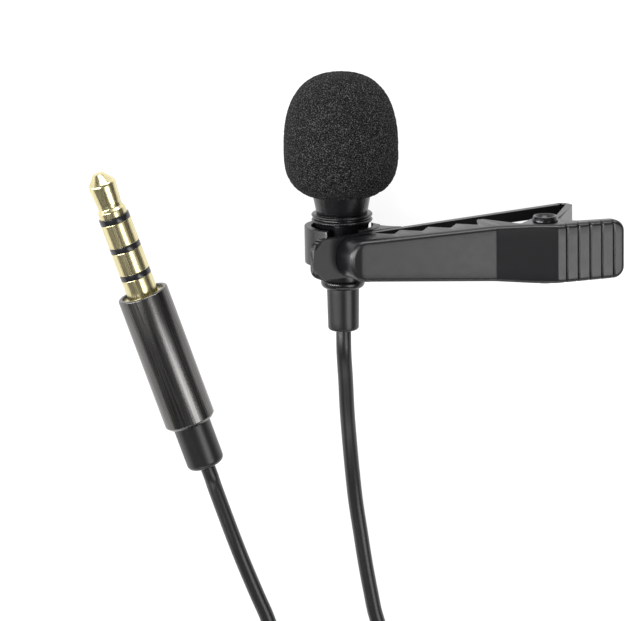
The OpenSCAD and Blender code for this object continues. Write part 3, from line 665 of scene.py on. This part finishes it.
def make_foam():
    """The foam windscreen, with a grain of small cells standing out all over it."""
    low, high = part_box("foam_windscreen")
    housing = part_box("capsule_housing")
    bore = (housing[1].x - housing[0].x) / 2 / MM + 0.02
    radius = (high.x - low.x) / 2 / MM
    centre = Vector((MIC.x, 0, MIC.z))
    profile = foam_profile(low.y / MM, high.y / MM, radius, bore, bore + FOAM_RIM)
    foam = turned_mesh("foam", profile, centre, Vector((0, 1, 0)), FOAM_SIDES)
    rng = np.random.default_rng(11)
    seeds = rng.normal(size=(FOAM_GRAINS, 3))
    seeds = seeds / np.linalg.norm(seeds, axis=1)[:, None]
    mesh = foam.data
    mesh.update()
    points = np.empty(len(mesh.vertices) * 3)
    mesh.vertices.foreach_get("co", points)
    points = points.reshape(-1, 3)
    middle = np.array([MIC.x, (low.y + high.y) / 2, MIC.z])
    heading = points - middle
    heading /= np.linalg.norm(heading, axis=1)[:, None]
    tree = KDTree(len(seeds))
    for i, seed in enumerate(seeds):
        tree.insert(seed, i)
    tree.balance()
    reach = np.array([tree.find(h)[2] for h in heading])
    lift = np.clip(1 - reach / FOAM_GRAIN_REACH, -1, 1) * FOAM_SKIN * MM
    radial = np.hypot(points[:, 0] - MIC.x, points[:, 2] - MIC.z)
    near_axis = radial < (bore + 0.2) * MM
    lift[near_axis] *= points[near_axis, 1] > middle[1] + 4 * MM  # the tip, and not the bore
    points += heading * (lift - FOAM_SKIN * MM * 0.5)[:, None]
    mesh.vertices.foreach_set("co", points.reshape(-1))
    mesh.polygons.foreach_set("use_smooth", [True] * len(mesh.polygons))
    mesh.update()
    paint(foam, "foam")
    stands_in(foam, "foam_windscreen", "windscreen")
    return foam


foam = make_foam()

# ---------- lever ----------

# The lever in clip directions: p along the arm and q square to it from the microphone's axis, with
# y across, all in mm. The main sizes are those of the CAD source.
PIN_P, PIN_Q = 17.5, 14.3
ARM_Q = 5.0
NOSE_HEIGHT = 2.9
NOSE_FOOT, NOSE_FACE, NOSE_Q = -3.85, -3.3, ARM_Q + NOSE_HEIGHT
BEND = (PIN_P - 5.6, PIN_Q - 1.1)
CREST = (PIN_P - 0.1, PIN_Q + 2.8)
GRIP_LENGTH, GRIP_SLOPE = 7.9, 0.19
GRIP_END = (CREST[0] + GRIP_LENGTH, CREST[1] + GRIP_LENGTH * GRIP_SLOPE)
NOSE_HALF, BEND_HALF, GRIP_HALF = 2.35, 3.1, 3.3
LEVER_T = 0.6
EDGE_R = 0.5  # rounding of the pressed edges
EDGE_STEPS = 6
CORNER_STEPS = 12  # for a quarter turn of the outline
NOSE_R, GRIP_R = 2.2, 1.3
FOLD_SOFT = 0.12  # half length of the rounding of a fold
NOSE_END = -0.4  # where the flange rises to the teeth
NOSE_LEAN = 1.4  # length of the nose over which its front leans back
TOOTH_COUNT, TOOTH_PITCH, FIRST_TOOTH = 4, 3, 0.5
TOOTH_GAP, VALLEY_DEPTH, LAST_TOOTH_DEPTH = 0.38, 2.1, 4.7
SKIRT = 1.1  # depth of the flange along the grip
EAR_R = 2
PIN_HOLE_R = 1.03
ACROSS = 6  # strips across the face
GRIP_RUN = 0.982  # along the clip, for each millimetre up the grip's slope
FIRST_GROOVE, GROOVE_PITCH = 1.05, 1.4
GROOVES = [CREST[0] + (FIRST_GROOVE + GROOVE_PITCH * i) * GRIP_RUN for i in range(5)]
GROOVE_DEPTH, GROOVE_HALF = 0.2, 0.17


def clip_place(p, y, q):
    """From clip directions to the table's frame."""
    return MIC + (CLIP_ALONG * p + CLIP_UP * q + Vector((0, y, 0))) * MM


def face_height(p):
    """Height of the lever's face, with its two folds slightly rounded."""
    slopes = (
        (BEND[1] - NOSE_Q) / (BEND[0] - NOSE_FACE),
        (CREST[1] - BEND[1]) / (CREST[0] - BEND[0]),
        (GRIP_END[1] - CREST[1]) / (GRIP_END[0] - CREST[0]),
    )
    q = NOSE_Q + slopes[0] * (p - NOSE_FACE)
    for (at, _), before, after in ((BEND, *slopes[:2]), (CREST, *slopes[1:])):
        over = p - at
        bent = (over + FOLD_SOFT) ** 2 / (4 * FOLD_SOFT)
        ease = max(over, 0) if abs(over) > FOLD_SOFT else bent
        q += (after - before) * ease
    for groove in GROOVES:
        q -= GROOVE_DEPTH * max(0, 1 - abs(p - groove) / GROOVE_HALF)
    return q


def lever_half(p):
    """Half of the lever's width at p, before its rounded ends."""
    marks = [(NOSE_FACE + 2, NOSE_HALF), (BEND[0], BEND_HALF), (CREST[0] - 2, GRIP_HALF)]
    return float(np.interp(p, *zip(*marks)))


def jaw_face(p):
    """Height of the jaw's face on the line from the nose to the first fold."""
    return NOSE_Q + (p - NOSE_FACE) * (BEND[1] - NOSE_Q) / (BEND[0] - NOSE_FACE)


def flange_foot(p):
    """Lower edge of the side flanges: the nose, the teeth, the ear round the pin, the grip."""
    marks = [(NOSE_FOOT + 1, ARM_Q + 0.03), (NOSE_END, jaw_face(NOSE_END) - NOSE_HEIGHT)]
    tooth = jaw_face(FIRST_TOOTH) - ARM_Q - TOOTH_GAP
    for i in range(TOOTH_COUNT):
        peak = FIRST_TOOTH + TOOTH_PITCH * i
        valley = peak + TOOTH_PITCH / 2
        marks += [(peak, jaw_face(peak) - tooth), (valley, jaw_face(valley) - VALLEY_DEPTH)]
    for last in (BEND[0] + 0.3, BEND[0] + 0.9):
        marks.append((last, jaw_face(last) - LAST_TOOTH_DEPTH))
    marks += [(PIN_P - 2.9, PIN_Q - 0.6), (PIN_P - 1.6, PIN_Q - 1.2)]
    marks += [(PIN_P + 1.6, PIN_Q + 0.6), (PIN_P + 3, CREST[1] - SKIRT)]
    marks.append((GRIP_END[0], GRIP_END[1] - SKIRT))
    q = float(np.interp(p, *zip(*marks)))
    ear = EAR_R**2 - (p - PIN_P) ** 2
    return min(q, PIN_Q - ear**0.5) if ear > 0 else q


def corner(p, y, r, start):
    """A rounded corner's stations: a quarter turn from the start angle, clockwise."""
    points = []
    for i in range(CORNER_STEPS + 1):
        a = start - math.pi / 2 * i / CORNER_STEPS
        points.append((p + r * math.cos(a), y + r * math.sin(a), math.cos(a), math.sin(a)))
    return points


def lever_stations():
    """Half of the outline seen from above, nose to grip: (p, y, outward p, outward y)."""
    nose = NOSE_FOOT + NOSE_R
    end = GRIP_END[0] - GRIP_R
    points = corner(nose, NOSE_HALF - NOSE_R, NOSE_R, math.pi)
    marks = [nose + 0.15 + 0.2 * i for i in range(200)]
    for share in (-1, -0.5, 0, 0.5, 1):
        marks += [at + share * FOLD_SOFT for at in (BEND[0], CREST[0])]
        marks += [groove + share * GROOVE_HALF for groove in GROOVES]
    for p in sorted(m for m in marks if m < end - 0.02):
        if p - points[-1][0] > 0.025:
            points.append((p, lever_half(p), 0, 1))
    return points + corner(end, GRIP_HALF - GRIP_R, GRIP_R, math.pi / 2)


def leaned(p, q):
    """Place along the clip after the nose's front leans in towards its face."""
    if p > NOSE_FOOT + NOSE_LEAN:
        return p
    share = min(max((q - ARM_Q) / (NOSE_Q - ARM_Q), 0), 1.1)
    return p + (NOSE_FACE - NOSE_FOOT) * share * min(1, (NOSE_FOOT + NOSE_LEAN - p) / NOSE_LEAN)


def lever_column(station):
    """The sheet's section at a station, from the face out over its edge and up inside the flange."""
    p, y, dp, dy = station
    section = []
    for i in range(EDGE_STEPS + 1):
        a = math.pi / 2 * i / EDGE_STEPS
        inset = EDGE_R * (1 - math.sin(a))
        at = p - dp * inset
        section.append((at, y - dy * inset, face_height(at) - EDGE_R * (1 - math.cos(a))))
    foot, t = flange_foot(p), LEVER_T
    for inset, rise in ((0, 0.12), (0.06, 0.03), (0.15, 0), (t - 0.15, 0), (t, 0.1)):
        section.append((p - dp * inset, y - dy * inset, foot + rise))
    section.append((p - dp * t, y - dy * t, face_height(p - dp * t) - t))
    return [clip_place(leaned(at, q), across, q) for at, across, q in section]


def span_columns(mesh, columns, layer, flip):
    """Closes the sheet's outer or inner face between its two sides."""
    half = len(columns) // 2
    rows = []
    for k in range(half):
        left, right = columns[k][layer], columns[-1 - k][layer]
        between = [mesh.verts.new(left.co.lerp(right.co, j / ACROSS)) for j in range(1, ACROSS)]
        rows.append([left, *between, right])
    for one, two in zip(rows, rows[1:]):
        for j in range(ACROSS):
            corners = [one[j], one[j + 1], two[j + 1], two[j]]
            mesh.faces.new(corners if flip else corners[::-1])


def make_lever():
    """The pressed lever: one sheet with rounded edges, toothed flanges, ears and a grooved grip."""
    near = lever_stations()
    far = [(p, -y, dp, -dy) for p, y, dp, dy in reversed(near)]
    mesh = bmesh.new()
    columns = [[mesh.verts.new(v) for v in lever_column(station)] for station in near + far]
    for one, two in zip(columns, columns[1:] + columns[:1]):
        for i in range(len(one) - 1):
            mesh.faces.new((one[i], one[i + 1], two[i + 1], two[i]))
    span_columns(mesh, columns, 0, False)
    span_columns(mesh, columns, -1, True)
    bmesh.ops.remove_doubles(mesh, verts=mesh.verts, dist=2e-6)
    bmesh.ops.recalc_face_normals(mesh, faces=mesh.faces)
    data = bpy.data.meshes.new("lever")
    mesh.to_mesh(data)
    mesh.free()
    lever = bpy.data.objects.new("lever", data)
    bpy.context.scene.collection.objects.link(lever)
    cut_pin_hole(lever)
    smooth_by_angle(lever, 40)
    paint(lever, "clip_black")
    return stands_in(lever, "clip_lever", "lever")


def cut_pin_hole(obj):
    """Bores the two ears for the pin."""
    bpy.ops.mesh.primitive_cylinder_add(
        vertices=48, radius=PIN_HOLE_R * MM, depth=20 * MM, location=PIN, rotation=(math.pi / 2, 0, 0)
    )
    cutter = bpy.context.object
    hole = obj.modifiers.new("hole", "BOOLEAN")
    hole.operation = "DIFFERENCE"
    hole.object = cutter
    hole.solver = "EXACT"
    depsgraph = bpy.context.evaluated_depsgraph_get()
    made = bpy.data.meshes.new_from_object(obj.evaluated_get(depsgraph))
    obj.modifiers.clear()
    obj.data = made
    bpy.data.objects.remove(cutter)


lever = make_lever()

# ---------- spring ----------

SPRING_D = 0.4
SPRING_TURNS = 4
SPRING_PITCH = 0.46
SPRING_R = 1.3
SPRING_SIDES = 10
SPRING_STEPS = 28  # for each turn
SPRING_START, SPRING_GRIP = -110, 15  # in degrees: where the turns begin, and the leg's rise
WALL_LEG = (8, 7, 6, 4.9)  # from the pin
GRIP_LEG = (0.4, 1.5, 2.7, 3.9, 5)  # from the last turn
WALL_SLOPE = 48  # of the arm's wall, in degrees down from the pin towards the fold


def spring_path():
    """The torsion spring: a leg down the arm's wall, the turns round the pin, a leg under the grip."""
    wall, grip = math.radians(WALL_SLOPE), math.radians(SPRING_GRIP)
    down = Vector((math.cos(wall), 0, -math.sin(wall)))
    off = Vector((math.sin(wall), 0, math.cos(wall)))
    half = SPRING_TURNS * SPRING_PITCH / 2
    turn = 360 * (SPRING_TURNS + 1) + SPRING_START - 90 - SPRING_GRIP
    count = round(turn / 360 * SPRING_STEPS)
    path = [Vector((0, half, 0)) + along * down + off for along in WALL_LEG]
    for i in range(count + 1):
        a = math.radians(SPRING_START - turn * i / count)
        y = half - 2 * half * i / count
        path.append(Vector((SPRING_R * math.cos(a), y, SPRING_R * math.sin(a))))
    tail = Vector((math.cos(grip), 0, math.sin(grip)))
    end = path[-1]
    return path + [end + along * tail for along in GRIP_LEG]


def from_pin(offset):
    """A place given from the pin in clip directions, in the table's frame."""
    return clip_place(PIN_P + offset.x, offset.y, PIN_Q + offset.z)


def make_spring():
    """The clip's spring, drawn as one wire whose two legs follow the arm and the lever."""
    path = spring_path()
    last, sides = len(path) - 1, SPRING_SIDES
    vertices, faces = [], []
    for i, point in enumerate(path):
        heading = (path[min(i + 1, last)] - path[max(i - 1, 0)]).normalized()
        side = heading.cross(Vector((0, 1, 0))).normalized()
        up = side.cross(heading)
        for k in range(sides):
            a = 2 * math.pi * k / sides
            vertices.append(from_pin(point + SPRING_D / 2 * (math.cos(a) * side + math.sin(a) * up)))
    for i in range(0, last * sides, sides):
        for k in range(sides):
            m = (k + 1) % sides
            faces.append((i + k, i + m, i + sides + m, i + sides + k))
    faces.append(tuple(reversed(range(sides))))
    faces.append(tuple(range(last * sides, (last + 1) * sides)))
    spring = mesh_object("spring", vertices, faces)
    smooth_by_angle(spring, 50)
    paint(spring, "spring_steel")
    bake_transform(spring)
    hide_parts("clip_spring")
    return spring


spring = make_spring()

# ---------- stage and light ----------


FLOOR_DROP = 0.05  # keeps the floor clear of what lies on the table


def make_floor():
    """A plain pale floor under the object."""
    bpy.ops.mesh.primitive_plane_add(size=4, location=mm(0, 0, -FLOOR_DROP))
    floor = bpy.context.object
    floor.name = "floor"
    material = bpy.data.materials.new("floor_white")
    material.use_nodes = True
    bsdf = material.node_tree.nodes["Principled BSDF"]
    bsdf.inputs["Base Color"].default_value = (0.35, 0.35, 0.35, 1)
    bsdf.inputs["Roughness"].default_value = 0.9
    bsdf.inputs["Specular IOR Level"].default_value = 0.0
    bsdf.inputs["Emission Color"].default_value = (1, 1, 1, 1)
    bsdf.inputs["Emission Strength"].default_value = 0.8
    floor.data.materials.append(material)


def area_light(name, place, size, watts):
    """A soft rectangular light in metres and watts, aimed at the table's origin."""
    data = bpy.data.lights.new(name, "AREA")
    data.shape = "RECTANGLE"
    data.size, data.size_y = size
    data.energy = watts
    light = bpy.data.objects.new(name, data)
    light.location = place
    light.rotation_euler = Vector(place).to_track_quat("Z", "Y").to_euler()
    bpy.context.scene.collection.objects.link(light)


def make_world():
    """A faint even light from all round."""
    world = bpy.data.worlds.new("studio")
    world.use_nodes = True
    world.node_tree.nodes["Background"].inputs["Color"].default_value = (1, 1, 1, 1)
    world.node_tree.nodes["Background"].inputs["Strength"].default_value = 0.1
    bpy.context.scene.world = world
    bpy.context.scene.view_settings.view_transform = "Standard"


make_floor()
make_world()
area_light("key", (0.03, 0.45, 0.24), (0.6, 0.2), 2.8)
area_light("left_strip", (-0.36, 0.0, 0.22), (0.06, 0.5), 2.1)
area_light("right_soft", (0.25, -0.12, 0.42), (0.16, 0.34), 1.0)
area_light("front", (0.0, -0.42, 0.2), (0.5, 0.06), 0.6)

bpy.context.view_layer.update()
